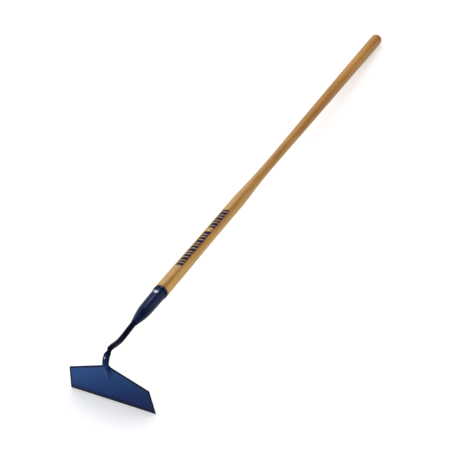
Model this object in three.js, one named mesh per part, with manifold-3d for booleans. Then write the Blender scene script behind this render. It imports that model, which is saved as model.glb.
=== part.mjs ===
// A goose-neck grub hoe with a riveted socket, lying on flat ground as it is put down: the
// cutting edge and the end of the handle both touch z = 0, and the handle runs along +Y.
// Millimetres, +Z up, +X across the blade. The origin is on the ground, under the middle of
// the tool's length. Five pieces: blade, goose_neck, socket, handle and rivet.

import * as THREE from "three";
import { mergeVertices } from "three/addons/utils/BufferGeometryUtils.js";
import Module from "manifold-3d";

const wasm = await Module();
wasm.setup();

// Clearance left between pieces that touch.
const GAP = 0.3;

// Blade: a flat plate with a straight edge, sides that lean in and sloping shoulders.
const EDGE_WIDTH = 232.2;
const SIDE_HEIGHT = 89.5;
const SIDE_TAPER = 8;
const SHOULDER_TOP = 140;
const SHOULDER_HALF_WIDTH = 11;
const TONGUE_TOP = 150.5;
const TONGUE_HALF_WIDTH = 7.6;
const FILLET_RUN = 6;
const PLATE = 2.8;
const BEVEL_HEIGHT = 7;
const EDGE_LAND = 0.7;
const BLADE_LEAN = THREE.MathUtils.degToRad(12.2);

// Socket: a tapered steel tube, measured from its mouth towards the neck.
const SOCKET_LENGTH = 151;
const SOCKET_WALL = 2.4;
const LIP_LENGTH = 10;
const LIP_RADIUS = 19.4;
const LIP_ROUNDING = 1.6;
const BODY_RADIUS = 18;
const NOSE_RADIUS = 8.4;

// Neck: a round bar. It enters the nose of the socket by TANG_LENGTH.
const NECK_RADIUS = 7.4;
const TANG_LENGTH = 18;

// Handle: EXPOSED_LENGTH stands out of the socket and TENON_LENGTH is seated in it.
const EXPOSED_LENGTH = 1396;
const TENON_LENGTH = 128;
const GRIP_RADIUS = 15.6;
const END_ROUNDING = 11;
const END_CROWN = 1.5;

// Rivet: through the socket and the tenon, square to the handle.
const RIVET_FROM_MOUTH = 29;
const RIVET_RADIUS = 2.7;
const RIVET_HEAD_RADIUS = 6.2;
const RIVET_HEAD_HEIGHT = 2.4;
const RIVET_HEAD_SINK = 0.6;

// The middle of the socket's mouth, behind the cutting edge and above it.
const MOUTH_FORWARD = 268.4;
const MOUTH_HEIGHT = 144.4;

// Facets round a turned piece, and round the neck.
const TURNED_SIDES = 36;
const NECK_SIDES = 24;

// How far a cutting solid reaches past the surface that it cuts.
const OVERCUT = 5;

// Points closer together than this are one point.
const WELD = 1e-4;

// The handle drops from the mouth until the rounded rim of its end is as low as the blade.
const LOWEST_EDGE = -EDGE_LAND * Math.sin(BLADE_LEAN);
const END_RING_RADIUS = GRIP_RADIUS - END_ROUNDING;
const END_RING_REACH = EXPOSED_LENGTH - END_ROUNDING;
const END_RING_DROP = MOUTH_HEIGHT - LOWEST_EDGE - END_ROUNDING;
const PITCH =
  Math.asin(END_RING_DROP / Math.hypot(END_RING_REACH, END_RING_RADIUS)) -
  Math.atan2(END_RING_RADIUS, END_RING_REACH);

const NAVY_PAINT = { color: 0x1d3a72, roughness: 0.38, metalness: 0.15 };
const DARK_NAVY_PAINT = { color: 0x0c1233, roughness: 0.3, metalness: 0.15 };
const LACQUERED_ASH = { color: 0xc89a63, roughness: 0.42, metalness: 0 };
const BRIGHT_STEEL = { color: 0xc9ccd6, roughness: 0.25, metalness: 0.9 };

// ---- shared helpers ----

function namedMesh(name, geometry, finish) {
  geometry.computeVertexNormals();
  const mesh = new THREE.Mesh(geometry, new THREE.MeshStandardMaterial(finish));
  mesh.name = name;
  return mesh;
}

// Turns a three.js geometry into a solid that can be cut or joined.
function toSolid(geometry) {
  const bare = geometry.clone();
  bare.deleteAttribute("normal");
  bare.deleteAttribute("uv");
  const merged = mergeVertices(bare, WELD);
  const triVerts = new Uint32Array(merged.index.array);
  const vertProperties = new Float32Array(merged.attributes.position.array);
  return new wasm.Manifold(new wasm.Mesh({ numProp: 3, vertProperties, triVerts }));
}

function toGeometry(solid) {
  const result = solid.getMesh();
  const geometry = new THREE.BufferGeometry();
  geometry.setAttribute("position", new THREE.BufferAttribute(result.vertProperties, 3));
  geometry.setIndex(new THREE.BufferAttribute(result.triVerts, 1));
  return geometry;
}

function cut(geometry, ...cutters) {
  const solids = cutters.map(toSolid);
  return toGeometry(solids.reduce((left, cutter) => left.subtract(cutter), toSolid(geometry)));
}

// Spins a profile of (radius, height) points about the Y axis.
function turned(profile) {
  return new THREE.LatheGeometry(profile, TURNED_SIDES);
}

function smoothProfile(points, steps) {
  return new THREE.SplineCurve(points).getSpacedPoints(steps);
}

function roundedEdge(centreRadius, centreHeight, rounding, fromAngle, toAngle, steps) {
  const clockwise = toAngle < fromAngle;
  const arc = new THREE.EllipseCurve(
    centreRadius, centreHeight, rounding, rounding, fromAngle, toAngle, clockwise,
  );
  return arc.getPoints(steps);
}

// A plain rod across the handle's axis, where the rivet goes.
function crossRod(radius, halfLength) {
  const rod = new THREE.CylinderGeometry(radius, radius, 2 * halfLength, TURNED_SIDES / 2);
  rod.rotateX(Math.PI / 2);
  rod.translate(0, -RIVET_FROM_MOUTH, 0);
  return rod;
}

// ---- blade ----
// Drawn flat, x across and y up from the cutting edge, with its inner face at z = 0 and its
// outer face at z = PLATE, then stood up and leaned out over the ground.

const FILLET_STEPS = 6;

// One half of the outline, from the cutting edge up to the top of the tongue.
function halfOutline(side) {
  const shoulder = new THREE.Vector2(EDGE_WIDTH / 2 - SIDE_TAPER, SIDE_HEIGHT);
  const root = new THREE.Vector2(SHOULDER_HALF_WIDTH, SHOULDER_TOP);
  const slope = (root.y - shoulder.y) / (shoulder.x - root.x);
  const filletStart = new THREE.Vector2(root.x + FILLET_RUN, root.y - FILLET_RUN * slope);
  const corner = new THREE.Vector2(
    TONGUE_HALF_WIDTH, SHOULDER_TOP + slope * (SHOULDER_HALF_WIDTH - TONGUE_HALF_WIDTH),
  );
  const tongue = new THREE.Vector2(TONGUE_HALF_WIDTH, TONGUE_TOP);
  const fillet = new THREE.QuadraticBezierCurve(filletStart, corner, tongue).getPoints(FILLET_STEPS);
  const points = [new THREE.Vector2(EDGE_WIDTH / 2, 0), shoulder, ...fillet];
  return points.map((point) => new THREE.Vector2(side * point.x, point.y));
}

function bladeGeometry() {
  const outline = new THREE.Shape([...halfOutline(1), ...halfOutline(-1).reverse()]);
  const plate = new THREE.ExtrudeGeometry(outline, { depth: PLATE, bevelEnabled: false });
  const wedge = new THREE.Shape([
    new THREE.Vector2(EDGE_LAND, -OVERCUT),
    new THREE.Vector2(EDGE_LAND, 0),
    new THREE.Vector2(PLATE, BEVEL_HEIGHT),
    new THREE.Vector2(PLATE + OVERCUT, BEVEL_HEIGHT),
    new THREE.Vector2(PLATE + OVERCUT, -OVERCUT),
  ]);
  const length = EDGE_WIDTH + 2 * OVERCUT;
  const bevel = new THREE.ExtrudeGeometry(wedge, { depth: length, bevelEnabled: false });
  bevel.translate(0, 0, -length / 2);
  bevel.rotateY(-Math.PI / 2);
  return standUp(cut(plate, bevel));
}

// From the flat drawing to the leaned plate: the outer face turns towards -Y.
function standUp(geometry) {
  geometry.rotateX(Math.PI / 2 + BLADE_LEAN);
  return geometry;
}

// A point on the leaned plate, by its height up the plate and its distance off the inner face.
function onBlade(height, proud) {
  const forward = -height * Math.sin(BLADE_LEAN) - proud * Math.cos(BLADE_LEAN);
  const up = height * Math.cos(BLADE_LEAN) - proud * Math.sin(BLADE_LEAN);
  return [forward, up];
}

// ---- goose neck ----

// A point on the handle's axis, by its distance from the mouth towards the neck.
function onAxis(distance) {
  return [
    MOUTH_FORWARD - distance * Math.cos(PITCH),
    MOUTH_HEIGHT + distance * Math.sin(PITCH),
  ];
}

// Stations from the tang to the tip of the rib on the blade's outer face:
// the middle (y, z), then half the width across X, half the depth, and how square it is.
const NECK_STATIONS = [
  [...onAxis(SOCKET_LENGTH - TANG_LENGTH), NECK_RADIUS, NECK_RADIUS, 2],
  [...onAxis(SOCKET_LENGTH), NECK_RADIUS, NECK_RADIUS, 2],
  [94, 159.8, NECK_RADIUS, NECK_RADIUS, 2],
  [68, 160.2, NECK_RADIUS, NECK_RADIUS, 2],
  [44, 162.2, NECK_RADIUS, NECK_RADIUS, 2],
  [20, 168.8, 7.2, 7.2, 2],
  [0, 176.2, 7.1, 7, 2],
  [-11, 178.6, 6.6, 6.9, 2],
  [-19.5, 176.8, 5.8, 6.7, 2],
  [-26.5, 171.6, 8.1, 6.8, 2.1],
  [-33.5, 162.5, 8.5, 6.9, 2.3],
  [...onBlade(SHOULDER_TOP + 12, PLATE + 1.8), 8.2, 6.8, 2.3],
  [...onBlade(SHOULDER_TOP - 7, PLATE), 7.9, 6.4, 2],
  [...onBlade(SHOULDER_TOP - 24, PLATE), 5.8, 4.6, 1.8],
  [...onBlade(SHOULDER_TOP - 40, PLATE), 3.4, 2.6, 1.7],
  [...onBlade(SHOULDER_TOP - 53, PLATE), 1.2, 0.9, 1.6],
];
const NECK_STEPS = 46;
const NECK_SIZE_TENSION = 0.3;

// A ring of points in the plane square to the neck's run.
function neckRing(middle, along, size) {
  const outward = new THREE.Vector3(0, along.z, -along.y);
  const ring = [];
  for (let side = 0; side < NECK_SIDES; side += 1) {
    const angle = (2 * Math.PI * side) / NECK_SIDES;
    const across = Math.sign(Math.cos(angle)) * Math.abs(Math.cos(angle)) ** (2 / size.z);
    const deep = Math.sign(Math.sin(angle)) * Math.abs(Math.sin(angle)) ** (2 / size.z);
    const point = middle.clone();
    point.x += size.x * across;
    point.addScaledVector(outward, size.y * deep);
    ring.push(point);
  }
  return ring;
}

// Skins a closed body over a row of rings with the same number of points.
function skinned(rings) {
  const sides = rings[0].length;
  const last = (rings.length - 1) * sides;
  const index = [];
  for (let start = 0; start < last; start += sides) {
    for (let side = 0; side < sides; side += 1) {
      const a = start + side;
      const b = start + ((side + 1) % sides);
      index.push(a, b, a + sides);
      index.push(b, b + sides, a + sides);
    }
  }
  for (let side = 1; side < sides - 1; side += 1) {
    index.push(0, side + 1, side);
    index.push(last, last + side, last + side + 1);
  }
  const geometry = new THREE.BufferGeometry();
  geometry.setFromPoints(rings.flat());
  geometry.setIndex(index);
  return geometry;
}

function neckGeometry() {
  const run = new THREE.CatmullRomCurve3(
    NECK_STATIONS.map(([y, z]) => new THREE.Vector3(0, y, z)), false, "centripetal",
  );
  const sizes = new THREE.CatmullRomCurve3(
    NECK_STATIONS.map(([, , width, depth, power]) => new THREE.Vector3(width, depth, power)),
    false, "catmullrom", NECK_SIZE_TENSION,
  );
  const rings = [];
  for (let step = 0; step <= NECK_STEPS; step += 1) {
    const t = step / NECK_STEPS;
    rings.push(neckRing(run.getPoint(t), run.getTangent(t), sizes.getPoint(t)));
  }
  return cut(skinned(rings), bladeSeat());
}

// What the neck must leave free for the plate: its outer face and the top of its tongue.
const SEAT_WIDTH = 60;
const SEAT_DEPTH = 33;
function bladeSeat() {
  const height = TONGUE_TOP + GAP;
  const seat = new THREE.BoxGeometry(SEAT_WIDTH, height, SEAT_DEPTH);
  seat.translate(0, height / 2, PLATE + GAP - SEAT_DEPTH / 2);
  return standUp(seat);
}

// ---- socket, handle and rivet ----
// Drawn about the handle's axis: origin in the middle of the mouth, +Y towards the handle's end.

// The socket's outer radius, from behind the lip to the nose.
const LIP_SLOPE = 1.2;
const SOCKET_STEPS = 26;
const SOCKET_OUTSIDE = [
  [BODY_RADIUS, LIP_LENGTH + LIP_SLOPE],
  [17.8, 31],
  [17.4, 61],
  [16.9, 87],
  [15.9, 103],
  [14, 117],
  [11.6, 132],
  [9.4, 144],
  [NOSE_RADIUS, SOCKET_LENGTH],
].map(([radius, distance]) => new THREE.Vector2(radius, -distance));

// The socket's bore, which the tenon fills down to its tip and the tang beyond.
const BORE_AT_MOUTH = LIP_RADIUS - SOCKET_WALL;
const BORE_AT_TIP = 10.6;
const TIP_CLEARANCE = 2;
const TANG_BORE_START = TENON_LENGTH + 12;

// The lip rolls over at its back by a sixth of a turn, and at its front by a quarter.
const LIP_BACK_TURN = -Math.PI / 3;
const LIP_BACK_STEPS = 3;
const LIP_FRONT_STEPS = 4;

function socketGeometry() {
  const outside = smoothProfile(SOCKET_OUTSIDE, SOCKET_STEPS).reverse();
  const lipCentre = LIP_RADIUS - LIP_ROUNDING;
  const lipStart = LIP_ROUNDING - LIP_LENGTH;
  const lipBack = roundedEdge(lipCentre, lipStart, LIP_ROUNDING, LIP_BACK_TURN, 0, LIP_BACK_STEPS);
  const lipFront = roundedEdge(
    lipCentre, -LIP_ROUNDING, LIP_ROUNDING, 0, Math.PI / 2, LIP_FRONT_STEPS,
  );
  const bore = [
    new THREE.Vector2(BORE_AT_MOUTH, 0),
    new THREE.Vector2(BORE_AT_TIP, -TENON_LENGTH - TIP_CLEARANCE),
    new THREE.Vector2(NECK_RADIUS + GAP, -TANG_BORE_START),
    new THREE.Vector2(NECK_RADIUS + GAP, -SOCKET_LENGTH),
  ];
  const profile = [...outside, ...lipBack, ...lipFront, ...bore, outside[0]];
  return cut(turned(profile), crossRod(RIVET_RADIUS + GAP, LIP_RADIUS + OVERCUT));
}

// The handle's radius, from the mouth to its end: thick at the head, waisted, then the grip.
const HANDLE_OUTSIDE = [
  [19.2, 0.6],
  [19.1, 50],
  [18.6, 110],
  [17.9, 200],
  [17.2, 340],
  [16.8, 465],
  [15.7, 503],
  [14.2, 542],
  [12.9, 590],
  [12.45, 640],
  [12.4, 700],
  [12.9, 790],
  [13.6, 870],
  [14.2, 990],
  [15, 1130],
  [15.5, 1290],
  [GRIP_RADIUS, EXPOSED_LENGTH - END_ROUNDING],
].map(([radius, distance]) => new THREE.Vector2(radius, distance));

const HANDLE_STEPS = 44;
const END_STEPS = 7;
const TIP_CHAMFER = 2;
const HEAD_CHAMFER = 0.6;

function handleGeometry() {
  const seatRadius = BORE_AT_MOUTH - GAP;
  const tipRadius = BORE_AT_TIP - GAP;
  const tenon = [
    new THREE.Vector2(0, -TENON_LENGTH),
    new THREE.Vector2(tipRadius - TIP_CHAMFER, -TENON_LENGTH),
    new THREE.Vector2(tipRadius, -TENON_LENGTH + TIP_CHAMFER),
    new THREE.Vector2(seatRadius, 0),
    new THREE.Vector2(seatRadius, GAP),
    new THREE.Vector2(HANDLE_OUTSIDE[0].x - HEAD_CHAMFER, GAP),
  ];
  const outside = smoothProfile(HANDLE_OUTSIDE, HANDLE_STEPS).slice(0, -1);
  const rim = roundedEdge(
    END_RING_RADIUS, END_RING_REACH, END_ROUNDING, 0, Math.PI / 2, END_STEPS,
  );
  const crown = [
    new THREE.Vector2(END_RING_RADIUS / 2, EXPOSED_LENGTH + 3 * END_CROWN / 4),
    new THREE.Vector2(0, EXPOSED_LENGTH + END_CROWN),
  ];
  const profile = [...tenon, ...outside, ...rim, ...crown];
  return cut(turned(profile), crossRod(RIVET_RADIUS + GAP, LIP_RADIUS + OVERCUT));
}

// A domed head above and the same below, both bedded on the round of the socket.
const DOME_FULLNESS = 0.8;
const DOME_STEPS = 6;
const SHANK_OVERLAP = 1;

function rivetGeometry() {
  const crown = BODY_RADIUS + RIVET_HEAD_HEIGHT;
  const dome = new THREE.QuadraticBezierCurve(
    new THREE.Vector2(RIVET_HEAD_RADIUS, BODY_RADIUS - RIVET_HEAD_SINK),
    new THREE.Vector2(RIVET_HEAD_RADIUS * DOME_FULLNESS, crown),
    new THREE.Vector2(0, crown),
  ).getPoints(DOME_STEPS);
  const upper = [new THREE.Vector2(RIVET_HEAD_RADIUS, BODY_RADIUS - OVERCUT), ...dome];
  const lower = upper.map((point) => new THREE.Vector2(point.x, -point.y)).reverse();
  const blank = turned([...lower, ...upper]);
  blank.rotateX(Math.PI / 2);
  blank.translate(0, -RIVET_FROM_MOUTH, 0);
  const bedLength = 2 * (RIVET_HEAD_RADIUS + OVERCUT);
  const bed = new THREE.CylinderGeometry(BODY_RADIUS, BODY_RADIUS, bedLength, 2 * TURNED_SIDES);
  bed.translate(0, -RIVET_FROM_MOUTH, 0);
  const heads = toSolid(blank).subtract(toSolid(bed));
  return toGeometry(heads.add(toSolid(crossRod(RIVET_RADIUS, BODY_RADIUS + SHANK_OVERLAP))));
}

// ---- the tool ----

const head = new THREE.Group();
head.add(namedMesh("blade", bladeGeometry(), NAVY_PAINT));
head.add(namedMesh("goose_neck", neckGeometry(), DARK_NAVY_PAINT));

const shaft = new THREE.Group();
shaft.position.set(0, MOUTH_FORWARD, MOUTH_HEIGHT);
shaft.rotation.x = -PITCH;
shaft.add(namedMesh("socket", socketGeometry(), DARK_NAVY_PAINT));
shaft.add(namedMesh("handle", handleGeometry(), LACQUERED_ASH));
shaft.add(namedMesh("rivet", rivetGeometry(), BRIGHT_STEEL));

const hoe = new THREE.Group();
hoe.add(head, shaft);

// Stand the lowest edge on z = 0 and put the origin under the middle of the length.
const extent = new THREE.Box3().setFromObject(hoe, true);
hoe.position.set(0, -(extent.min.y + extent.max.y) / 2, -extent.min.z);
hoe.updateMatrixWorld(true);

export default hoe;
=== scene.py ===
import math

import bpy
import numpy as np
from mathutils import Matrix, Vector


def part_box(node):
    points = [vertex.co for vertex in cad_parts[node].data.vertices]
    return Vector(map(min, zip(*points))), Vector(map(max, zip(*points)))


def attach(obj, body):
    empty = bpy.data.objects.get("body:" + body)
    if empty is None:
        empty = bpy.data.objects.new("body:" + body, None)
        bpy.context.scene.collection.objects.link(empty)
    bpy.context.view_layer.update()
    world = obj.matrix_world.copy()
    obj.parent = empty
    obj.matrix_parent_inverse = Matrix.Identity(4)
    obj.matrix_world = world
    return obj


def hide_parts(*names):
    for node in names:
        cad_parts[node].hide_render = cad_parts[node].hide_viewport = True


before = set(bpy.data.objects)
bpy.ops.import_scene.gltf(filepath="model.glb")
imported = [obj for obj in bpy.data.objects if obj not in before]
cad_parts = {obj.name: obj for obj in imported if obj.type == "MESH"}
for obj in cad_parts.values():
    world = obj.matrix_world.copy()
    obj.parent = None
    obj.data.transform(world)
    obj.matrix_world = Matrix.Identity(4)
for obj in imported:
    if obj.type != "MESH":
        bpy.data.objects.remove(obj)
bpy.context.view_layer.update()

# The looks of a goose-neck grub hoe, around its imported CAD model. Metres, +Z up.
#
# Three working frames, all rigid:
#   tool    the cutting edge's inner line is y = 0, z = 0, and +Y runs to the handle's end
#   plate   x across the blade, y up the plate from the cutting edge, z off its inner face
#   shaft   origin in the middle of the socket's mouth, +Y along the handle to its end

# ---- sizes, the same as the CAD model's ----

EDGE_WIDTH = 0.2322
SIDE_HEIGHT = 0.0895
SIDE_TAPER = 0.008
SHOULDER_TOP = 0.140
SHOULDER_HALF_WIDTH = 0.011
TONGUE_TOP = 0.1505
TONGUE_HALF_WIDTH = 0.0076
PLATE = 0.0028
BEVEL_HEIGHT = 0.007
EDGE_LAND = 0.0007
BLADE_LEAN = math.radians(12.2)

SOCKET_LENGTH = 0.151
SOCKET_WALL = 0.0024
LIP_LENGTH = 0.010
LIP_RADIUS = 0.0194
BODY_RADIUS = 0.0180
NOSE_RADIUS = 0.0084
NECK_RADIUS = 0.0074
TANG_LENGTH = 0.018

EXPOSED_LENGTH = 1.396
TENON_LENGTH = 0.128
GRIP_RADIUS = 0.0156
END_ROUNDING = 0.011
END_CROWN = 0.0015

RIVET_FROM_MOUTH = 0.029
RIVET_RADIUS = 0.0027
RIVET_HEAD_RADIUS = 0.0062
RIVET_HEAD_HEIGHT = 0.0024

MOUTH_FORWARD = 0.2684
MOUTH_HEIGHT = 0.1444

LOWEST_EDGE = -EDGE_LAND * math.sin(BLADE_LEAN)
END_RING_RADIUS = GRIP_RADIUS - END_ROUNDING
END_RING_REACH = EXPOSED_LENGTH - END_ROUNDING
END_RING_DROP = MOUTH_HEIGHT - LOWEST_EDGE - END_ROUNDING
PITCH = math.asin(
    END_RING_DROP / math.hypot(END_RING_REACH, END_RING_RADIUS)
) - math.atan2(END_RING_RADIUS, END_RING_REACH)

# ---- frames ----

blade_low, blade_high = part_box("blade")
TOOL = Matrix.Translation((0, blade_high.y, blade_low.z - LOWEST_EDGE))
PLATE_FRAME = TOOL @ Matrix.Rotation(math.pi / 2 + BLADE_LEAN, 4, "X")
SHAFT = (
    TOOL
    @ Matrix.Translation((0, MOUTH_FORWARD, MOUTH_HEIGHT))
    @ Matrix.Rotation(-PITCH, 4, "X")
)


# ---- mesh helpers ----

SHARP_ANGLE = math.radians(50)


def added(name, data):
    """A new object with some data, linked into the scene."""
    made = bpy.data.objects.new(name, data)
    bpy.context.scene.collection.objects.link(made)
    return made


def add_piece(name, verts, faces, place, node, slot, material):
    """A shown piece that rides on the one body. It stands for a CAD node, if one is named."""
    mesh = bpy.data.meshes.new(name)
    mesh.from_pydata([tuple(map(float, v)) for v in verts], [], faces)
    mesh.validate()
    mesh.update()
    mesh.polygons.foreach_set("use_smooth", [True] * len(mesh.polygons))
    mesh.set_sharp_from_angle(angle=SHARP_ANGLE)
    mesh.materials.append(material)
    piece = added(name, mesh)
    piece.matrix_world = place
    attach(piece, "root")
    if node:
        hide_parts(node)


def skin(rings):
    """Faces of a closed body over a row of rings with the same number of points."""
    sides = len(rings[0])
    faces = []
    for ring in range(len(rings) - 1):
        for side in range(sides):
            a = ring * sides + side
            b = ring * sides + (side + 1) % sides
            faces.append((a, b, b + sides, a + sides))
    last = (len(rings) - 1) * sides
    faces.append(tuple(range(sides))[::-1])
    faces.append(tuple(range(last, last + sides)))
    return faces


def turned(profile, sides):
    """A body turned about the shaft's axis, from (radius, distance) points.

    A radius of 0 at either end closes the body at a pole."""
    verts, rings, faces = [], [], []
    for radius, distance in profile:
        if radius == 0:
            rings.append([len(verts)] * sides)
            verts.append((0, distance, 0))
            continue
        rings.append([len(verts) + side for side in range(sides)])
        for side in range(sides):
            angle = 2 * math.pi * side / sides
            verts.append((radius * math.cos(angle), distance, radius * math.sin(angle)))
    closed = profile[0][0] != 0
    pairs = list(zip(rings, rings[1:] + rings[:1])) if closed else list(zip(rings, rings[1:]))
    for low, high in pairs:
        for side in range(sides):
            after = (side + 1) % sides
            corners = [low[side], high[side], high[after], low[after]]
            faces.append(tuple(dict.fromkeys(corners)))
    return verts, faces


def smooth_profile(points, step):
    """Points along a centripetal spline through (radius, distance) points."""
    points = np.array(points, float)
    steps = np.maximum(np.linalg.norm(np.diff(points, axis=0), axis=1) / step, 1)
    return spline(points, np.ceil(steps).astype(int))[0]


def arc(centre, radius, start, end, steps):
    """Points round part of a circle in the (radius, distance) plane, angles in degrees."""
    angles = np.radians(np.linspace(start, end, steps + 1))
    return [
        (centre[0] + radius * math.cos(a), centre[1] + radius * math.sin(a)) for a in angles
    ]


def spline(points, steps, tension=None):
    """Places and directions along a Catmull-Rom spline: centripetal, or of a given tension."""
    points = np.array(points, float)
    ends = [2 * points[0] - points[1], 2 * points[-1] - points[-2]]
    knots = np.vstack([ends[:1], points, ends[1:]])
    gaps = np.maximum(np.linalg.norm(np.diff(knots, axis=0), axis=1), 1e-9) ** 0.5
    if np.isscalar(steps):
        steps = [steps] * (len(points) - 1)
    places, directions = [], []
    for i, count in enumerate(steps):
        p0, p1, p2, p3 = knots[i : i + 4]
        g0, g1, g2 = gaps[i : i + 3]
        if tension is None:
            m1 = ((p1 - p0) / g0 - (p2 - p0) / (g0 + g1) + (p2 - p1) / g1) * g1
            m2 = ((p2 - p1) / g1 - (p3 - p1) / (g1 + g2) + (p3 - p2) / g2) * g1
        else:
            m1, m2 = tension * (p2 - p0), tension * (p3 - p1)
        last = i == len(steps) - 1
        for k in range(count + 1 if last else count):
            t = k / count
            c2 = 3 * (p2 - p1) - 2 * m1 - m2
            c3 = 2 * (p1 - p2) + m1 + m2
            places.append(p1 + t * m1 + t * t * c2 + t**3 * c3)
            directions.append(m1 + 2 * t * c2 + 3 * t * t * c3)
    return np.array(places), np.array(directions)


# ---- blade ----
# The plate is two height fields, outer and inner, over rows that run across it.

SHOULDER_SLOPE = (SHOULDER_TOP - SIDE_HEIGHT) / (
    EDGE_WIDTH / 2 - SIDE_TAPER - SHOULDER_HALF_WIDTH
)
FILLET_RUN = 0.006
FILLET_POINTS = 14
TONGUE_CORNER = 0.0032
TONGUE_CORNER_STEPS = 10
OUTER_ROUNDING = 0.0006
INNER_ROUNDING = 0.0005
EDGE_ROUNDING = 0.00025
BEVEL_SOFTNESS = 0.00012
LEAST_THICKNESS = 0.0001
# Columns near a row's two ends: how far in they are, in units of OUTER_ROUNDING.
EDGE_INSETS = (0, 0.03, 0.1, 0.22, 0.4, 0.65, 1, 1.6, 2.6, 4.5)
MIDDLE_COLUMNS = 61
# Rows over the bevel and just above it, in sevenths of the bevel's height, then over the flat
# of the plate, close to the side corner (as heights above it), and up the shoulder.
BEVEL_ROWS = (0, 0.05, 0.12, 0.25, 0.5, 1, 2, 3, 4, 5, 6, 6.5, 6.8, 7, 7.2, 7.6, 8.5)
FLAT_ROWS_START = 0.011
FLAT_ROW_STEP = 0.0028
SIDE_CORNER_ROWS = (-0.001, -0.0004, 0, 0.0004, 0.001)
SIDE_CORNER_MARGIN = 0.002
SHOULDER_ROW_STEP = 0.0012
SHOULDER_MARGIN = 0.0003
# Waves of the rolled plate: their depth, and how they fade near its sides and the neck's foot.
SWELL_DEPTH = 0.00006
SWELL_FADE = 0.006
SWELL_FOOT_HALF_WIDTH = 0.014
SWELL_FOOT_BOTTOM = 0.080
SWELL_FOOT_FADE = 0.02


def shoulder_fillet(count):
    """(half width, height) points of the curve from the shoulder up the tongue's side."""
    rise = SHOULDER_SLOPE * FILLET_RUN
    start = np.array([SHOULDER_HALF_WIDTH + FILLET_RUN, SHOULDER_TOP - rise])
    corner_rise = SHOULDER_SLOPE * (SHOULDER_HALF_WIDTH - TONGUE_HALF_WIDTH)
    corner = np.array([TONGUE_HALF_WIDTH, SHOULDER_TOP + corner_rise])
    end = np.array([TONGUE_HALF_WIDTH, TONGUE_TOP - TONGUE_CORNER])
    t = np.linspace(0, 1, count)[:, None]
    return (1 - t) ** 2 * start + 2 * t * (1 - t) * corner + t**2 * end


def plate_outline():
    """(half width, height) points up one side of the blade, round its tongue's top corner."""
    points = [(EDGE_WIDTH / 2, 0), (EDGE_WIDTH / 2 - SIDE_TAPER, SIDE_HEIGHT)]
    points += [tuple(p) for p in shoulder_fillet(FILLET_POINTS)]
    centre = (TONGUE_HALF_WIDTH - TONGUE_CORNER, TONGUE_TOP - TONGUE_CORNER)
    return np.array(points + arc(centre, TONGUE_CORNER, 0, 90, TONGUE_CORNER_STEPS)[1:])


OUTLINE = plate_outline()


def plate_half_width(height):
    return np.interp(height, OUTLINE[:, 1], OUTLINE[:, 0])


def side_lean(height):
    """The cosine of the angle that the blade's side makes with upright, at a height."""
    reach = 2e-4
    run = plate_half_width(height + reach) - plate_half_width(height - reach)
    return math.cos(math.atan(run / (2 * reach)))


def distance_to_sides(x, height):
    """Distance of points on the plate from its sides, shoulders and top."""
    p = np.stack([np.abs(x), height], -1)[..., None, :]
    start, end = OUTLINE[:-1], OUTLINE[1:]
    along = end - start
    t = np.clip(((p - start) * along).sum(-1) / (along**2).sum(-1), 0, 1)
    gap = np.linalg.norm(p - start - t[..., None] * along, axis=-1).min(-1)
    return np.minimum(gap, TONGUE_TOP - height)


def rounded_drop(distance, rounding):
    """How far a rounded edge has fallen below its face, at a distance in from the side."""
    u = np.clip(1 - distance / rounding, 0, 1)
    return rounding * (1 - np.sqrt(1 - u * u))


def row_heights():
    """Heights of the rows: close together at the bevel, the corners and the top."""
    low = [h * BEVEL_HEIGHT / 7 for h in BEVEL_ROWS]
    corner_start, corner_end = SIDE_HEIGHT - SIDE_CORNER_MARGIN, SIDE_HEIGHT + SIDE_CORNER_MARGIN
    flat = list(np.arange(FLAT_ROWS_START, corner_start, FLAT_ROW_STEP))
    corner = [SIDE_HEIGHT + offset for offset in SIDE_CORNER_ROWS]
    shoulder_end = OUTLINE[2, 1] - SHOULDER_MARGIN
    shoulder = list(np.arange(corner_end, shoulder_end, SHOULDER_ROW_STEP))
    fillet = [h for h in OUTLINE[2:, 1] if h < TONGUE_TOP - OUTER_ROUNDING * 1.2]
    top = [TONGUE_TOP - OUTER_ROUNDING * inset for inset in EDGE_INSETS[:7]]
    return np.array(sorted(low + flat + corner + shoulder + fillet + top))


def row_columns(half_width, lean):
    """Places across a row: close together near its two ends, then evenly spread."""
    insets = OUTER_ROUNDING * np.array(EDGE_INSETS) / lean
    insets = insets * min(1, 0.6 * half_width / insets[-1])
    inner = half_width - insets[-1]
    middle = np.linspace(-1, 1, MIDDLE_COLUMNS + 2)[1:-1] * inner
    return np.concatenate([insets - half_width, middle, (half_width - insets)[::-1]])


def swell(x, height, inset):
    """The slight waves of a rolled plate, gone at its sides and round the neck's foot."""
    waves = SWELL_DEPTH * np.sin(31 * x + 5 * np.sin(43 * height)) * np.sin(52 * height + 1)
    waves = waves * np.clip(inset / SWELL_FADE, 0, 1)
    off_foot = np.maximum(np.abs(x) - SWELL_FOOT_HALF_WIDTH, SWELL_FOOT_BOTTOM - height)
    return waves * np.clip(off_foot / SWELL_FOOT_FADE, 0, 1)


def plate_faces(x, h):
    """How far the plate's outer and inner faces stand off its inner plane, at (x, height)."""
    inset = distance_to_sides(x, h)
    bevel = EDGE_LAND + (PLATE - EDGE_LAND) * h / BEVEL_HEIGHT
    face = PLATE - rounded_drop(inset, OUTER_ROUNDING) + swell(x, h, inset)
    outer = face - BEVEL_SOFTNESS * np.log1p(np.exp((face - bevel) / BEVEL_SOFTNESS))
    outer = outer - rounded_drop(h, EDGE_ROUNDING) * (h < BEVEL_HEIGHT)
    inner = rounded_drop(inset, INNER_ROUNDING) + rounded_drop(h, EDGE_ROUNDING) * 0.5
    return outer, np.minimum(inner, outer - LEAST_THICKNESS)


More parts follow.
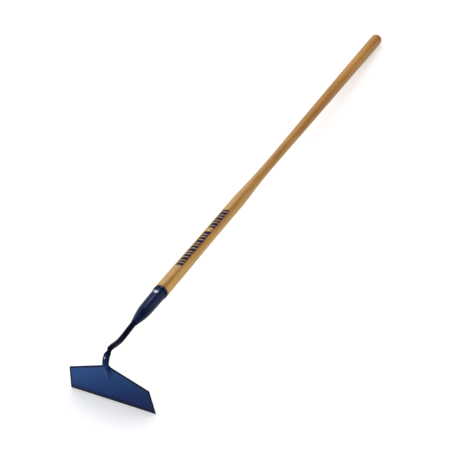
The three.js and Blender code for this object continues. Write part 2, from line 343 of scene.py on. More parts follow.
def blade_mesh():
    heights = row_heights()
    x = np.array([row_columns(float(plate_half_width(h)), side_lean(h)) for h in heights])
    h = np.repeat(heights[:, None], x.shape[1], 1)
    outer, inner = plate_faces(x, h)
    count = x.size
    verts = np.concatenate(
        [np.stack([x, h, outer], -1).reshape(-1, 3), np.stack([x, h, inner], -1).reshape(-1, 3)]
    )
    n_rows, n_cols = x.shape
    faces = []
    for r in range(n_rows - 1):
        for c in range(n_cols - 1):
            a = r * n_cols + c
            quad = (a, a + 1, a + 1 + n_cols, a + n_cols)
            faces.append(quad)
            faces.append(tuple(i + count for i in quad[::-1]))
    rim = list(range(n_cols))
    rim += [r * n_cols + n_cols - 1 for r in range(1, n_rows)]
    rim += [(n_rows - 1) * n_cols + c for c in range(n_cols - 2, -1, -1)]
    rim += [r * n_cols for r in range(n_rows - 2, 0, -1)]
    for a, b in zip(rim, rim[1:] + rim[:1]):
        faces.append((a, a + count, b + count, b))
    return verts, faces


# ---- goose neck ----


def on_blade(height, proud):
    """(y, z) in the tool frame of a point on the blade, by its height and how far it stands out."""
    sin, cos = math.sin(BLADE_LEAN), math.cos(BLADE_LEAN)
    return (-height * sin - proud * cos, height * cos - proud * sin)


def on_axis(distance):
    """(y, z) in the tool frame of a point on the shaft's axis, ahead of the socket's mouth."""
    return (
        MOUTH_FORWARD - distance * math.cos(PITCH),
        MOUTH_HEIGHT + distance * math.sin(PITCH),
    )


# The middle (y, z) in the tool frame, half the width, half the depth, and how square it is.
NECK_STATIONS = [
    (*on_axis(SOCKET_LENGTH - TANG_LENGTH), NECK_RADIUS, NECK_RADIUS, 2),
    (*on_axis(SOCKET_LENGTH), NECK_RADIUS, NECK_RADIUS, 2),
    (0.094, 0.1598, NECK_RADIUS, NECK_RADIUS, 2),
    (0.068, 0.1602, NECK_RADIUS, NECK_RADIUS, 2),
    (0.044, 0.1622, NECK_RADIUS, NECK_RADIUS, 2),
    (0.020, 0.1688, 0.0072, 0.0072, 2),
    (0.000, 0.1762, 0.0071, 0.0070, 2),
    (-0.011, 0.1786, 0.0066, 0.0069, 2),
    (-0.0200, 0.1765, 0.0056, 0.0066, 2),
    (-0.0250, 0.1732, 0.0080, 0.0068, 2.1),
    (-0.0335, 0.1625, 0.0085, 0.0069, 2.3),
    (*on_blade(SHOULDER_TOP + 0.012, PLATE + 0.0018), 0.0082, 0.0068, 2.3),
    (*on_blade(SHOULDER_TOP - 0.007, PLATE), 0.0079, 0.0064, 2),
    (*on_blade(SHOULDER_TOP - 0.024, PLATE), 0.0058, 0.0046, 1.8),
    (*on_blade(SHOULDER_TOP - 0.040, PLATE), 0.0034, 0.0026, 1.7),
    (*on_blade(SHOULDER_TOP - 0.053, PLATE), 0.0012, 0.0009, 1.6),
]
NECK_SIDES = 96
NECK_STEPS = 18
NECK_SIZE_TENSION = 0.3
# The dent on the left of the bend: the bar's middle shifts aside round this (y, z).
NOTCH = (-0.0205, 0.1762)
NOTCH_ASIDE = 0.0016
NOTCH_REACH = 0.0085
# The fillet along both sides of the foot: its full size, the height up the plate where it
# starts, the rise over which it grows, the margin that it leaves at the plate's sides, and half
# the width of the crest, which it spreads less.
FOOT_FILLET = 0.0032
FILLET_BOTTOM = 0.083
FILLET_GROWTH = 0.03
FILLET_MARGIN = 0.0004
FILLET_CREST = 0.003
LEAST_FILLET = 1e-5
# The part of the neck over the plate: how far behind it this reaches, and how deep it is seated.
BEHIND_PLATE = -0.03
SEATED = 0.00005


def foot_on_plate(verts):
    """Rests the neck on the plate's outer face, with a filleted foot along both its sides."""
    to_plate = np.array(PLATE_FRAME.inverted() @ TOOL)
    points = verts @ to_plate[:3, :3].T + to_plate[:3, 3]
    x, height, proud = points.T
    over = (height < TONGUE_TOP + SEATED) & (proud > BEHIND_PLATE)
    room = plate_half_width(height) - np.abs(x) - FILLET_MARGIN
    growth = np.clip((height - FILLET_BOTTOM) / FILLET_GROWTH, 0, 1)
    size = np.clip(np.minimum(FOOT_FILLET * growth, room), LEAST_FILLET, None)
    rise = proud - PLATE
    u = np.clip(1 - rise / size, 0, 1)
    flare = size * (1 - np.sqrt(np.clip(1 - u * u, 0, 1)))
    side = np.clip(np.abs(x) / FILLET_CREST, 0, 1)
    moved = np.where(over & (rise < size), flare * side, 0)
    points[:, 0] = x + np.sign(x) * moved
    points[:, 2] = np.where(over, np.maximum(proud, PLATE - SEATED), proud)
    back = np.linalg.inv(to_plate)
    return points @ back[:3, :3].T + back[:3, 3]


def squared_off(wave, power):
    """A sine or cosine, reshaped so that a ring of them is square to the given power."""
    return np.sign(wave) * np.abs(wave) ** (2 / power)


def neck_mesh():
    stations = np.array(NECK_STATIONS)
    places, directions = spline(stations[:, :2], NECK_STEPS)
    sizes_in_mm = stations[:, 2:] * (1000, 1000, 1)
    sizes, _ = spline(sizes_in_mm, NECK_STEPS, tension=NECK_SIZE_TENSION)
    rings = []
    angles = 2 * math.pi * np.arange(NECK_SIDES) / NECK_SIDES
    for (y, z), along, (width, depth, power) in zip(places, directions, sizes):
        along = along / np.linalg.norm(along)
        across = squared_off(np.cos(angles), power) * width / 1000
        deep = squared_off(np.sin(angles), power) * depth / 1000
        near_notch = max(0, 1 - (math.dist((y, z), NOTCH) / NOTCH_REACH) ** 2) ** 2
        across = across + NOTCH_ASIDE * near_notch
        ring = np.stack([across, y + deep * along[1], z - deep * along[0]], -1)
        rings.append(ring)
    verts = foot_on_plate(np.concatenate(rings))
    return verts, skin(rings)


# ---- socket, handle and rivet ----

# (radius, distance) points from the socket's mouth towards the neck.
SOCKET_OUTSIDE = [
    (BODY_RADIUS, 0.0112),
    (0.0178, 0.031),
    (0.0174, 0.061),
    (0.0169, 0.087),
    (0.0159, 0.103),
    (0.0140, 0.117),
    (0.0116, 0.132),
    (0.0094, 0.144),
    (NOSE_RADIUS, SOCKET_LENGTH - 0.0012),
]
BORE_AT_MOUTH = LIP_RADIUS - SOCKET_WALL
BORE_AT_TIP = 0.0106
BORE_PAST_TENON = 0.002
BORE_CONE = 0.010
MOUTH_CHAMFER = 0.0002
LIP_ROUNDING = 0.0016
NOSE_ROUNDING = 0.0009
SOCKET_PROFILE_STEP = 0.003
TURNED_SIDES = 128

# (radius, distance) points from the socket's mouth to the grip's end.
HANDLE_OUTSIDE = [
    (0.0192, 0.0010),
    (0.0191, 0.050),
    (0.0186, 0.110),
    (0.0179, 0.200),
    (0.0172, 0.340),
    (0.0168, 0.465),
    (0.0157, 0.503),
    (0.0142, 0.542),
    (0.0129, 0.590),
    (0.01245, 0.640),
    (0.0124, 0.700),
    (0.0129, 0.790),
    (0.0136, 0.870),
    (0.0142, 0.990),
    (0.0150, 1.130),
    (0.0155, 1.290),
    (GRIP_RADIUS, EXPOSED_LENGTH - END_ROUNDING),
]
HANDLE_PROFILE_STEP = 0.008
TENON_PLAY = 0.0001
TENON_CHAMFER = 0.002
HANDLE_SHOULDER = (HANDLE_OUTSIDE[0][0] - 0.0006, 0.0001)

RIVET_SIDES = 48
RIVET_DOME_POINTS = 12
RIVET_BED = 0.0002
RIVET_SINK = 0.0004


def socket_mesh():
    outside = [(r, -d) for r, d in smooth_profile(SOCKET_OUTSIDE, SOCKET_PROFILE_STEP)][::-1]
    lip = LIP_RADIUS - LIP_ROUNDING
    lip_back = arc((lip, -LIP_LENGTH + LIP_ROUNDING), LIP_ROUNDING, -60, 0, 6)
    lip_front = arc((lip, -LIP_ROUNDING), LIP_ROUNDING, 0, 90, 10)
    nose_centre = (NOSE_RADIUS - NOSE_ROUNDING, -SOCKET_LENGTH + NOSE_ROUNDING)
    nose = arc(nose_centre, NOSE_ROUNDING, -90, -5, 5)
    bore = [
        (BORE_AT_MOUTH + MOUTH_CHAMFER, 0),
        (BORE_AT_MOUTH, -MOUTH_CHAMFER),
        (BORE_AT_TIP, -TENON_LENGTH - BORE_PAST_TENON),
        (NECK_RADIUS, -TENON_LENGTH - BORE_PAST_TENON - BORE_CONE),
        (NECK_RADIUS, -SOCKET_LENGTH),
    ]
    return turned([*nose, *outside, *lip_back, *lip_front, *bore], TURNED_SIDES)


def handle_mesh():
    seat, tip = BORE_AT_MOUTH - TENON_PLAY, BORE_AT_TIP - TENON_PLAY
    tenon = [
        (0, -TENON_LENGTH),
        (tip - TENON_CHAMFER, -TENON_LENGTH),
        (tip, -TENON_LENGTH + TENON_CHAMFER),
        (seat, 0),
        HANDLE_SHOULDER,
    ]
    outside = list(map(tuple, smooth_profile(HANDLE_OUTSIDE, HANDLE_PROFILE_STEP)))[:-1]
    rim = arc((END_RING_RADIUS, END_RING_REACH), END_ROUNDING, 0, 90, 16)
    crown = [
        (END_RING_RADIUS * k, EXPOSED_LENGTH + END_CROWN * (1 - k * k))
        for k in (0.75, 0.5, 0.25, 0)
    ]
    return turned([*tenon, *outside, *rim, *crown], TURNED_SIDES)


def rivet_dome():
    """(radius, height) points up a rivet's head, between its edge and its middle."""
    points = []
    for turn in np.linspace(0, 1, RIVET_DOME_POINTS)[1:-1] * math.pi / 2:
        radius = RIVET_HEAD_RADIUS * math.cos(turn) ** 0.8
        points.append((radius, (RIVET_HEAD_HEIGHT + RIVET_SINK) * math.sin(turn)))
    return points


def rivet_mesh():
    """A shank with a domed head at both ends, each bedded on the round of the socket."""
    verts, rings, faces = [], [], []
    sides = range(RIVET_SIDES)
    head = [(RIVET_RADIUS, None), (RIVET_HEAD_RADIUS, None), *rivet_dome()]
    for radius, lift, sign in [(*p, -1) for p in head[::-1]] + [(*p, 1) for p in head]:
        rings.append([len(verts) + side for side in sides])
        for side in sides:
            angle = 2 * math.pi * side / RIVET_SIDES
            x, y = radius * math.cos(angle), radius * math.sin(angle)
            if lift is None:
                height = math.sqrt((BODY_RADIUS - RIVET_BED) ** 2 - x * x)
            else:
                height = BODY_RADIUS - RIVET_SINK + lift
            verts.append((x, y - RIVET_FROM_MOUTH, sign * height))
    for low, high in zip(rings, rings[1:]):
        for side in sides:
            after = (side + 1) % RIVET_SIDES
            faces.append((low[side], low[after], high[after], high[side]))
    reach = BODY_RADIUS + RIVET_HEAD_HEIGHT
    for pole, edge, flip in ((-reach, rings[0], False), (reach, rings[-1], True)):
        centre = len(verts)
        verts.append((0, -RIVET_FROM_MOUTH, pole))
        for side in sides:
            face = (edge[(side + 1) % RIVET_SIDES], edge[side], centre)
            faces.append(face[::-1] if flip else face)
    return verts, faces


# ---- maker's stamp ----
# A plain printed band of slanted bars, where such a tool carries its label.

# Each run of bars: where it starts and ends on the handle, and its bars' widths in turn.
STAMP_RUNS = ((0.101, 0.281, (0.0112, 0.0078, 0.0135)), (0.291, 0.389, (0.0082, 0.0125)))
STAMP_GAP = 0.0037
STAMP_HALF_HEIGHT = 0.0088
STAMP_SLANT = 0.0052
INK_PROUD = 0.00008
INK_SUNK = 0.00025
BAR_STEPS = 20


def bar_starts():
    """(distance, width) of every bar along the handle."""
    for start, end, widths in STAMP_RUNS:
        distance, index = start, 0
        while distance + widths[index % len(widths)] <= end:
            width = widths[index % len(widths)]
            yield distance, width
            distance += width + STAMP_GAP
            index += 1


def stamp_mesh():
    """Thin closed bars that follow the round of the handle, on its top, in line with the rivet."""
    outline = smooth_profile(HANDLE_OUTSIDE, HANDLE_PROFILE_STEP)
    verts, faces = [], []
    for distance, width in bar_starts():
        first = len(verts)
        for step in range(BAR_STEPS + 1):
            across = STAMP_HALF_HEIGHT * (2 * step / BAR_STEPS - 1)
            shift = STAMP_SLANT * across / STAMP_HALF_HEIGHT / 2
            for end in (0, width):
                y = distance + end + shift
                radius = np.interp(y, outline[:, 1], outline[:, 0])
                angle = math.pi / 2 - across / radius
                for reach in (radius - INK_SUNK, radius + INK_PROUD):
                    verts.append((reach * math.cos(angle), y, reach * math.sin(angle)))
        for step in range(BAR_STEPS):
            a = first + 4 * step
            b = a + 4
            faces += [(a + 1, b + 1, b + 3, a + 3), (a, a + 2, b + 2, b)]
            faces += [(a, b, b + 1, a + 1), (a + 2, a + 3, b + 3, b + 2)]
        last = first + 4 * BAR_STEPS
        faces += [(first, first + 1, first + 3, first + 2), (last, last + 2, last + 3, last + 1)]
    return verts, faces


# ---- materials ----


class Look:
    """One material, built node by node. Lengths in it are metres in the piece's own frame."""

    def __init__(self, name, **constants):
        self.material = bpy.data.materials.new(name)
        self.material.use_nodes = True
        self.nodes = self.material.node_tree.nodes
        self.links = self.material.node_tree.links
        self.shader = self.nodes["Principled BSDF"]
        self.place = self.add("ShaderNodeTexCoord", {})["Object"]
        self.x, self.y, self.z = list(self.add("ShaderNodeSeparateXYZ", {0: self.place}))
        for key, value in constants.items():
            self.put(key.replace("_", " "), value)

    def add(self, kind, inputs, **settings):
        made = self.nodes.new(kind)
        for key, value in settings.items():
            setattr(made, key, value)
        for key, value in inputs.items():
            self.feed(made.inputs[key], value)
        return made.outputs

    def feed(self, socket, value):
        if isinstance(value, bpy.types.NodeSocket):
            self.links.new(value, socket)
        elif socket.type == "RGBA" and len(value) == 3:
            socket.default_value = (*value, 1)
        else:
            socket.default_value = value

    def put(self, name, value):
        self.feed(self.shader.inputs[name], value)

    def math(self, kind, *values):
        return self.add("ShaderNodeMath", dict(enumerate(values)), operation=kind)[0]

    def plus(self, first, second):
        return self.math("ADD", first, second)

    def minus(self, first, second):
        return self.math("SUBTRACT", first, second)

    def times(self, first, second):
        return self.math("MULTIPLY", first, second)

    def on_place(self, kind, vector):
        """A vector sum of the place and a fixed vector, with outputs Vector and Value."""
        return self.add("ShaderNodeVectorMath", {0: self.place, 1: vector}, operation=kind)

    def noise(self, scale, detail, seed, place=None):
        """Noise from 0 to 1. The scale is one number, or one for each axis, in features a metre."""
        if place is None:
            place = self.place if np.isscalar(scale) else self.on_place("MULTIPLY", scale)[0]
        inputs = {
            "Vector": place,
            "W": seed,
            "Scale": float(scale) if np.isscalar(scale) else 1.0,
            "Detail": detail,
            "Roughness": 0.5,
        }
        return self.add("ShaderNodeTexNoise", inputs, noise_dimensions="4D")[0]

    def step(self, value, low, high, bottom=0.0, top=1.0):
        """A smooth change from bottom to top as the value goes from low to high."""
        inputs = {0: value, 1: low, 2: high, 3: bottom, 4: top}
        return self.add("ShaderNodeMapRange", inputs, interpolation_type="SMOOTHSTEP")[0]

    def fade(self, value, low, high, most=1.0):
        """A smooth fall from the most to nothing as the value goes from low to high."""
        return self.step(value, low, high, most, 0.0)

    def mix(self, factor, first, second):
        """The first colour where the factor is 0, and the second where it is 1."""
        return self.add("ShaderNodeMix", {0: factor, 6: first, 7: second}, data_type="RGBA")[2]

    def ramp(self, value, *stops):
        """A colour that runs through (place from 0 to 1, colour) stops."""
        node = self.add("ShaderNodeValToRGB", {0: value})[0].node
        elements = node.color_ramp.elements
        while len(elements) < len(stops):
            elements.new(0.5)
        for element, (place, colour) in zip(elements, stops):
            element.position = place
            element.color = (*colour, 1)
        return node.outputs[0]

    def bumps(self, *layers):
        """Bumps of (height from 0 to 1, depth in metres), one over another."""
        normal = None
        for height, depth in layers:
            inputs = {"Height": height, "Distance": depth, "Strength": 1.0}
            if normal:
                inputs["Normal"] = normal
            normal = self.add("ShaderNodeBump", inputs)[0]
        self.put("Normal", normal)


BLADE_BLUE = (0.0010, 0.0088, 0.0540)
# The next colour is the lighter blue of the blade's upper left, a painted highlight, and a cloudy
# tone at the neck's foot.
BLADE_TEAL = (0.0052, 0.0240, 0.0810)
# The next colour is the dark of the blade's dull specks and of its painted shade along the rim, the
# ground edge and low down.
BLADE_DARK_SPECK_AND_SHADE = (0.0003, 0.0006, 0.0045)
NECK_NAVY = (0.0003, 0.0007, 0.0060)
NECK_NAVY_LIGHT = (0.0010, 0.0030, 0.0160)
SOCKET_NAVY = (0.0006, 0.0018, 0.0180)
SOCKET_NAVY_LIGHT = (0.0022, 0.0070, 0.0400)
BARE_STEEL = (0.13, 0.135, 0.15)
PAINT_TINT = (0.28, 0.52, 1.0)

# Bands on the blade, as (from, to) in metres: in from its sides, up from its cutting edge, or,
# for the outer face, off the plate's inner plane.
# The dark rim, the dark ground edge and the darkening low on the blade are painted shade.
RIM_SHADE_BAND = (0.0010, 0.0060)
CHIPPED_RIM = (0.0, 0.0012)
GROUND_EDGE_SHADE_BAND = (0.0065, 0.0115)
LOW_SHADE_BAND = (-0.002, 0.022)
SCRATCHED = (0.006, 0.060)
OUTER_FACE = (0.0008, 0.0016)

# Places on the neck, in the tool frame: where its foot's blue ends, the top of its bend, and
# the pool of glossy paint on the bend.
FOOT_BLUE_FADES = (0.1400, 0.1640)
FOOT_BLUE_END = (-0.0330, -0.0250)
FOOT_BLUE_TOP = (0.1460, 0.1515)
BEND_TOP = (0.1800, 0.1850)
GLOSSY_BEND = (0.0, -0.0380, 0.1690)
GLOSSY_REACH = (0.006, 0.013)

# The front of the socket's lip, along the shaft.
LIP_FRONT = (-0.0022, -0.0002)


def plate_inset(look):
    """Distance in from the blade's sides and shoulders, in the plate's frame."""
    across = look.math("ABSOLUTE", look.x)
    taper = look.times(look.y, -SIDE_TAPER / SIDE_HEIGHT)
    side = look.minus(look.plus(taper, EDGE_WIDTH / 2), across)
    fall = look.times(across, -SHOULDER_SLOPE)
    crest = look.plus(fall, SHOULDER_TOP + SHOULDER_SLOPE * SHOULDER_HALF_WIDTH)
    square = math.cos(math.atan(SHOULDER_SLOPE))
    shoulder = look.times(look.minus(crest, look.y), square)
    return look.math("MINIMUM", side, shoulder)


def blade_enamel():
    look = Look("blade_enamel", Specular_IOR_Level=0.06, Specular_Tint=PAINT_TINT)
    clouds = look.noise(19, 4, 1.5)
    orange_peel = look.noise(430, 1, 2.5)
    specks = look.noise(900, 3, 3.5)
    # The paint is lighter towards the upper left, a painted highlight, with cloudy patches and dull
    # specks.
    aside = look.minus(look.times(clouds, 0.12), look.times(look.x, 0.8))
    painted_sheen_slope = look.plus(aside, look.times(look.minus(look.y, 0.06), 1.3))
    paint = look.mix(look.step(painted_sheen_slope, -0.04, 0.16), BLADE_BLUE, BLADE_TEAL)
    dull = look.times(look.step(specks, 0.5, 0.78), 0.35)
    paint = look.mix(dull, paint, BLADE_DARK_SPECK_AND_SHADE)
    # Painted shade: it is dark along the rim and the ground edge of the outer face, and darker
    # towards the cutting edge.
    ragged = look.times(look.noise(240, 3, 4.5), 0.0016)
    inset = look.minus(plate_inset(look), ragged)
    outside = look.step(look.z, *OUTER_FACE)
    rim = look.fade(inset, *RIM_SHADE_BAND)
    paint = look.mix(look.times(rim, outside), paint, BLADE_DARK_SPECK_AND_SHADE)
    low = look.minus(look.y, look.times(ragged, 2.0))
    ground = look.fade(low, *GROUND_EDGE_SHADE_BAND)
    paint = look.mix(look.times(ground, outside), paint, BLADE_DARK_SPECK_AND_SHADE)
    low_shade = look.minus(look.y, look.times(clouds, 0.018))
    paint = look.mix(look.fade(low_shade, *LOW_SHADE_BAND, 0.62), paint, BLADE_DARK_SPECK_AND_SHADE)
    # Steel shows faintly in scratches up from the cutting edge and in chips at the rim.
    scratch = look.step(look.noise((1300, 22, 1300), 3, 5.5), 0.66, 0.74)
    lower = look.fade(look.y, *SCRATCHED)
    scratch = look.times(look.times(scratch, lower), 0.25)
    chips = look.step(look.noise(520, 4, 6.5), 0.66, 0.70)
    edge = look.fade(look.math("MINIMUM", inset, look.y), *CHIPPED_RIM)
    bare = look.math("MAXIMUM", look.times(chips, edge), scratch)
    look.put("Base Color", look.mix(look.times(bare, 0.45), paint, BARE_STEEL))
    rough = look.step(clouds, 0.25, 0.75, 0.33, 0.43)
    look.put("Roughness", look.plus(rough, look.times(edge, 0.35)))
    look.bumps((orange_peel, 0.000012), (clouds, 0.00018), (look.minus(1.0, bare), 0.00003))
    return look.material


def dark_enamel(name, dark, light, gloss, foot):
    """The head's navy paint. With a foot it is the neck's, which turns to the blade's blue at
    its foot and is worn on top of its bend. Without one it is the socket's, worn at its lip."""
    look = Look(name, Specular_IOR_Level=gloss, Specular_Tint=PAINT_TINT)
    clouds = look.noise(34, 4, 11.5)
    orange_peel = look.noise(480, 1, 12.5)
    forged = look.noise((95, 60, 95), 2, 13.5)
    paint = look.mix(look.step(clouds, 0.32, 0.70), dark, light)
    wear = look.step(look.noise(620, 4, 14.5), 0.66, 0.72)
    if foot:
        blue = look.mix(look.step(clouds, 0.34, 0.68), BLADE_BLUE, BLADE_TEAL)
        blue = look.mix(look.step(look.z, *FOOT_BLUE_FADES), blue, light)
        past_foot = look.step(look.y, *FOOT_BLUE_END)
        bar = look.math("MINIMUM", past_foot, look.step(look.z, *FOOT_BLUE_TOP))
        paint = look.mix(bar, blue, paint)
        worn = look.step(look.z, *BEND_TOP)
        off_bend = look.on_place("DISTANCE", GLOSSY_BEND)["Value"]
        look.put("Coat Weight", look.fade(off_bend, *GLOSSY_REACH, 0.13))
        look.put("Coat Roughness", 0.16)
    else:
        worn = look.step(look.y, *LIP_FRONT)
    bare = look.times(wear, worn)
    look.put("Base Color", look.mix(look.times(bare, 0.4), paint, BARE_STEEL))
    look.put("Roughness", look.step(clouds, 0.25, 0.75, 0.24, 0.36))
    look.bumps((orange_peel, 0.000010), (forged, 0.00022), (look.minus(1.0, bare), 0.00003))
    return look.material


ASH_LIGHT = (0.590, 0.320, 0.078)
ASH_TAN = (0.450, 0.210, 0.034)
ASH_BROWN = (0.225, 0.082, 0.008)
ASH_ORANGE = (0.240, 0.082, 0.001)
ASH_PORE = (0.130, 0.048, 0.010)
SAPWOOD_AND_SHEEN = (0.610, 0.415, 0.110)
HEARTWOOD = (0.265, 0.108, 0.014)

# Growth rings: their colours, as (place in the ring, colour), their width, the tree's middle
# (x, z) in the shaft frame, and how far the grain leans for each metre along the handle.
RING_COLOURS = (
    (0.0, ASH_BROWN),
    (0.16, ASH_BROWN),
    (0.42, ASH_LIGHT),
    (0.82, ASH_TAN),
    (1.0, ASH_BROWN),
)
RING = 0.0036
PITH = (-0.066, 0.036)
GRAIN_SLOPE = 0.011
# Across the handle, from its pale left side over the heart streak to its pale right side; the pale
# sides are sapwood colour painted as highlights, stronger on the left.
HEART_ACROSS = (0.887, 0.0, -0.462)
LEFT_SAP_AND_SHEEN = (-0.0160, -0.0010)
RIGHT_SAP_AND_SHEEN = (0.0040, 0.0130)
HEART_MIDDLE = 0.0015
HEART_EDGES = (0.0010, 0.0070)
# Along the handle: where its colour turns, the sapwood's painted highlight fades and the heart
# streak deepens.
WARMS_ALONG = (0.10, 1.05)
SAP_AND_SHEEN_FADE_ALONG = (0.25, 1.10)
HEART_DEEPENS_ALONG = (0.05, 0.50)
END_GRAIN_FROM = EXPOSED_LENGTH - 0.007


def ash_rings(look):
    """Place within a growth ring, 0 to 1, of wood cut well off the middle of the tree."""
    sway = look.minus(look.noise((0.5, 2.3, 0.5), 2, 21.5), 0.5)
    drift = look.plus(look.times(sway, 0.030), look.times(look.y, GRAIN_SLOPE))
    across = look.minus(look.minus(look.x, PITH[0]), drift)
    deep = look.minus(look.z, PITH[1])
    squares = look.plus(look.times(across, across), look.times(deep, deep))
    radius = look.math("SQRT", squares)
    ragged = look.times(look.noise((160, 5, 160), 3, 22.5), 0.0011)
    by_radius = look.add("ShaderNodeCombineXYZ", {0: look.times(radius, 70.0)})[0]
    uneven = look.noise(1.0, 2, 23.5, by_radius)
    radius = look.plus(look.plus(radius, ragged), look.times(uneven, 0.0055))
    return look.math("FRACT", look.math("DIVIDE", radius, RING))


def lacquered_ash():
    look = Look(
        "lacquered_ash_wood", Coat_Weight=0.09, Coat_Roughness=0.32, Specular_IOR_Level=0.18
    )
    ring = ash_rings(look)
    wood = look.ramp(ring, *RING_COLOURS)
    streaks = look.noise((120, 4.0, 120), 3, 24.5)
    wood = look.mix(look.step(streaks, 0.46, 0.62, 0.0, 0.85), wood, ASH_BROWN)
    pale = look.noise((85, 3.0, 85), 2, 25.5)
    wood = look.mix(look.step(pale, 0.50, 0.64, 0.0, 0.75), wood, ASH_LIGHT)
    wood = look.mix(look.step(look.y, *WARMS_ALONG, 0.0, 0.52), wood, ASH_ORANGE)
    # Pale sapwood down both sides of the top, painted highlights of those sides, with a brown heart
    # streak between them.
    across = look.on_place("DOT_PRODUCT", HEART_ACROSS)["Value"]
    wander = look.minus(look.noise((20, 5.5, 20), 3, 29.5), 0.5)
    across = look.plus(across, look.times(wander, 0.012))
    fading = look.step(look.y, *SAP_AND_SHEEN_FADE_ALONG, 1.0, 0.35)
    left_sap_and_sheen = look.times(look.fade(across, *LEFT_SAP_AND_SHEEN, 0.75), fading)
    right_sap_and_sheen = look.times(look.step(across, *RIGHT_SAP_AND_SHEEN, 0.0, 0.45), fading)
    early = look.fade(look.math("PINGPONG", ring, 0.5), 0.04, 0.20)
    pale_sap_and_sheen = look.mix(look.times(early, 0.55), SAPWOOD_AND_SHEEN, ASH_TAN)
    wood = look.mix(left_sap_and_sheen, wood, pale_sap_and_sheen)
    wood = look.mix(right_sap_and_sheen, wood, pale_sap_and_sheen)
    off_heart = look.math("ABSOLUTE", look.minus(across, HEART_MIDDLE))
    heart = look.fade(off_heart, *HEART_EDGES, 0.60)
    broken = look.step(look.noise((260, 11, 260), 3, 30.5), 0.40, 0.54)
    heart = look.times(heart, look.step(look.y, *HEART_DEEPENS_ALONG, 0.55, 1.0))
    wood = look.mix(look.times(heart, broken), wood, HEARTWOOD)
    # Darker end grain on the grip's end, then fibres, and pores in the early wood of each ring.
    end_grain = look.step(look.y, END_GRAIN_FROM, EXPOSED_LENGTH + END_CROWN, 0.0, 0.70)
    wood = look.mix(end_grain, wood, ASH_PORE)
    fibres = look.noise((1100, 11, 1100), 4, 26.5)
    wood = look.mix(look.step(fibres, 0.40, 0.75, 0.0, 0.45), wood, ASH_BROWN)
    pores = look.step(look.noise((2600, 130, 2600), 2, 27.5), 0.56, 0.66)
    pores = look.times(pores, early)
    look.put("Base Color", look.mix(look.times(pores, 0.7), wood, ASH_PORE))
    look.put("Roughness", look.step(fibres, 0.3, 0.8, 0.38, 0.52))
    relief = look.minus(1.0, pores)
    look.bumps((fibres, 0.000025), (relief, 0.00005), (look.noise(55, 2, 28.5), 0.00020))
    return look.material


INK_DARK = (0.008, 0.011, 0.045)
INK_LIGHT = (0.016, 0.022, 0.070)
STEEL_DARK = (0.50, 0.52, 0.62)
STEEL_LIGHT = (0.78, 0.80, 0.90)
HEAD_EDGE_SHADE = (0.05, 0.05, 0.06)


def stamp_ink():
    look = Look("stamp_ink_navy", Specular_IOR_Level=0.06)
    worn = look.step(look.noise((700, 160, 700), 4, 31.5), 0.58, 0.70)
    patchy = look.step(look.noise(130, 2, 32.5), 0.35, 0.7, 0.03, 0.18)
    ink = look.mix(look.noise(300, 2, 33.5), INK_DARK, INK_LIGHT)
    look.put("Base Color", look.mix(look.times(worn, patchy), ink, ASH_TAN))
    look.put("Roughness", look.step(worn, 0.0, 1.0, 0.55, 0.65))
    look.bumps((look.noise(1500, 2, 34.5), 0.000015))
    return look.material


def rivet_steel():
    look = Look("rivet_bright_steel", Metallic=1.0)
    off_centre = look.plus(look.y, RIVET_FROM_MOUTH)
    squares = look.plus(look.times(look.x, look.x), look.times(off_centre, off_centre))
    out = look.math("SQRT", squares)
    smoke = look.noise(420, 3, 41.5)
    metal = look.mix(smoke, STEEL_DARK, STEEL_LIGHT)
    # Painted shade: the head darkens round its edge, where it meets the socket.
    head_edge_shade = look.step(out, RIVET_HEAD_RADIUS * 0.82, RIVET_HEAD_RADIUS, 0.0, 0.85)
    look.put("Base Color", look.mix(head_edge_shade, metal, HEAD_EDGE_SHADE))
    look.put("Roughness", look.step(smoke, 0.3, 0.7, 0.20, 0.38))
    dents = look.add("ShaderNodeTexVoronoi", {"Vector": look.place, "Scale": 420.0})["Distance"]
    look.bumps((dents, 0.00010), (look.noise(2200, 2, 42.5), 0.000008))
    return look.material


blade_paint = blade_enamel()
neck_paint = dark_enamel("neck_enamel", NECK_NAVY, NECK_NAVY_LIGHT, 0.04, foot=True)
socket_paint = dark_enamel("socket_enamel", SOCKET_NAVY, SOCKET_NAVY_LIGHT, 0.09, foot=False)

# Each shown piece: its name, its mesh, its frame, its CAD node, its slot and its material.
PIECES = (
    ("blade_plate", blade_mesh, PLATE_FRAME, "blade", "blade_paint", blade_paint),
    ("neck_bar", neck_mesh, TOOL, "goose_neck", "neck_paint", neck_paint),
    ("socket_tube", socket_mesh, SHAFT, "socket", "neck_paint", socket_paint),
    ("ash_handle", handle_mesh, SHAFT, "handle", "lacquered_ash", lacquered_ash()),
    ("rivet_domed", rivet_mesh, SHAFT, "rivet", "rivet_steel", rivet_steel()),
    ("stamp_bars", stamp_mesh, SHAFT, None, "neck_paint", stamp_ink()),
)
for name, build, place, node, slot, material in PIECES:
    verts, faces = build()
    add_piece(name, verts, faces, place, node, slot, material)

# ---- stage ----

CAMERA_AZIMUTH = math.radians(25.14)
CAMERA_ELEVATION = math.radians(39.16)
CAMERA_PLACE = Vector((2.6525, -5.0061, 5.1644))
CAMERA_SHIFT_RIGHT = -0.00136
CAMERA_SHIFT_DOWN = 0.00013
SENSOR = 36.0
LENS = 249.31
CLIP_END = 200

FLOOR_HALF_SIZE = 60
FLOOR_DROP = 0.0005
FLOOR_WHITE = (0.90, 0.90, 0.90)
FLOOR_GLOW = 0.34
ROOM_WHITE = (0.97, 0.985, 1.0)
ROOM_STRENGTH = 0.80
SUN_TOWARD = (-0.55, 0.25, 0.9)
SUN_STRENGTH = 0.45
SUN_ANGLE = math.radians(60)

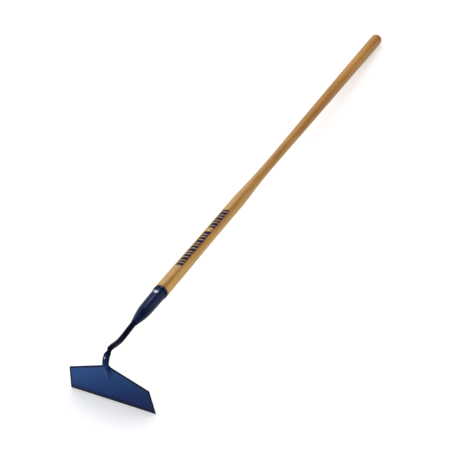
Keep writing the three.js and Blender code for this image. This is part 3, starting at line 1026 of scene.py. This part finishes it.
# Soft boxes: name, the piece it lights, its place and its target in the tool frame, its size,
# its power in watts and its spread in degrees.
SOFT_BOXES = (
    ("blade_box", "blade_plate",
     (-0.40, -0.30, 0.42), (-0.09, -0.03, 0.11), (0.11, 0.11), 2.15, 80),
    ("neck_box", "neck_bar",
     (-0.29, -0.54, 0.37), (0, -0.03, 0.16), (0.11, 0.11), 1.5, 80),
    ("back_box", "ash_handle",
     (-0.55, 2.2, 1.45), (0, 0.2, 0.15), (0.8, 0.8), 17, 180),
    ("socket_left_box", "socket_tube",
     (-0.42, 2.2, 1.42), (0, 0.2, 0.15), (0.50, 0.6), 16, 180),
    ("nose_box", "socket_tube",
     (-0.84, 0.70, 0.78), (0, 0.13, 0.16), (0.26, 0.26), 4, 180),
    ("socket_right_box", "socket_tube",
     (1.45, 2.2, 0.62), (0, 0.2, 0.15), (0.9, 0.9), 6, 180),
)


def aimed(direction):
    """The turn of a lamp that shines along a direction."""
    return direction.to_track_quat("-Z", "Y").to_euler()


def add_camera():
    data = bpy.data.cameras.new("camera")
    data.sensor_width, data.lens = SENSOR, LENS
    data.clip_end = CLIP_END
    camera = added("camera", data)
    a, e = CAMERA_AZIMUTH, CAMERA_ELEVATION
    back = Vector((math.sin(a) * math.cos(e), -math.cos(a) * math.cos(e), math.sin(e)))
    right = Vector((math.cos(a), math.sin(a), 0))
    up = back.cross(right)
    turn = Matrix((right, up, back)).transposed().to_4x4()
    shift = CAMERA_SHIFT_RIGHT * right - CAMERA_SHIFT_DOWN * up
    camera.matrix_world = Matrix.Translation(TOOL @ CAMERA_PLACE + shift) @ turn
    bpy.context.scene.camera = camera


def add_floor():
    mesh = bpy.data.meshes.new("floor")
    s = FLOOR_HALF_SIZE
    mesh.from_pydata([(-s, -s, 0), (s, -s, 0), (s, s, 0), (-s, s, 0)], [], [(0, 1, 2, 3)])
    look = Look("floor_white", Base_Color=FLOOR_WHITE, Roughness=0.9, Emission_Color=(1, 1, 1))
    look.put("Emission Strength", FLOOR_GLOW)
    mesh.materials.append(look.material)
    floor = added("floor", mesh)
    floor.location.z = -FLOOR_DROP


def add_room():
    world = bpy.data.worlds.new("soft_room")
    world.use_nodes = True
    shader = world.node_tree.nodes["Background"]
    shader.inputs["Color"].default_value = (*ROOM_WHITE, 1)
    shader.inputs["Strength"].default_value = ROOM_STRENGTH
    bpy.context.scene.world = world


def add_sun():
    data = bpy.data.lights.new("key", "SUN")
    data.energy, data.angle = SUN_STRENGTH, SUN_ANGLE
    added("key", data).rotation_euler = aimed(-Vector(SUN_TOWARD))


def add_soft_box(name, lit, place, target, size, power, spread):
    """A soft box that lights one piece of the tool and leaves the floor alone."""
    receivers = bpy.data.collections.new(name + "_lit")
    receivers.objects.link(bpy.data.objects[lit])
    data = bpy.data.lights.new(name, "AREA")
    data.shape, data.size, data.size_y = "RECTANGLE", size[0], size[1]
    data.energy, data.spread = power, math.radians(spread)
    lamp = added(name, data)
    lamp.visible_camera = False
    lamp.light_linking.receiver_collection = receivers
    place, target = TOOL @ Vector(place), TOOL @ Vector(target)
    lamp.location = place
    lamp.rotation_euler = aimed(target - place)


add_camera()
add_floor()
add_room()
add_sun()
for box in SOFT_BOXES:
    add_soft_box(*box)
bpy.context.scene.view_settings.view_transform = "Standard"
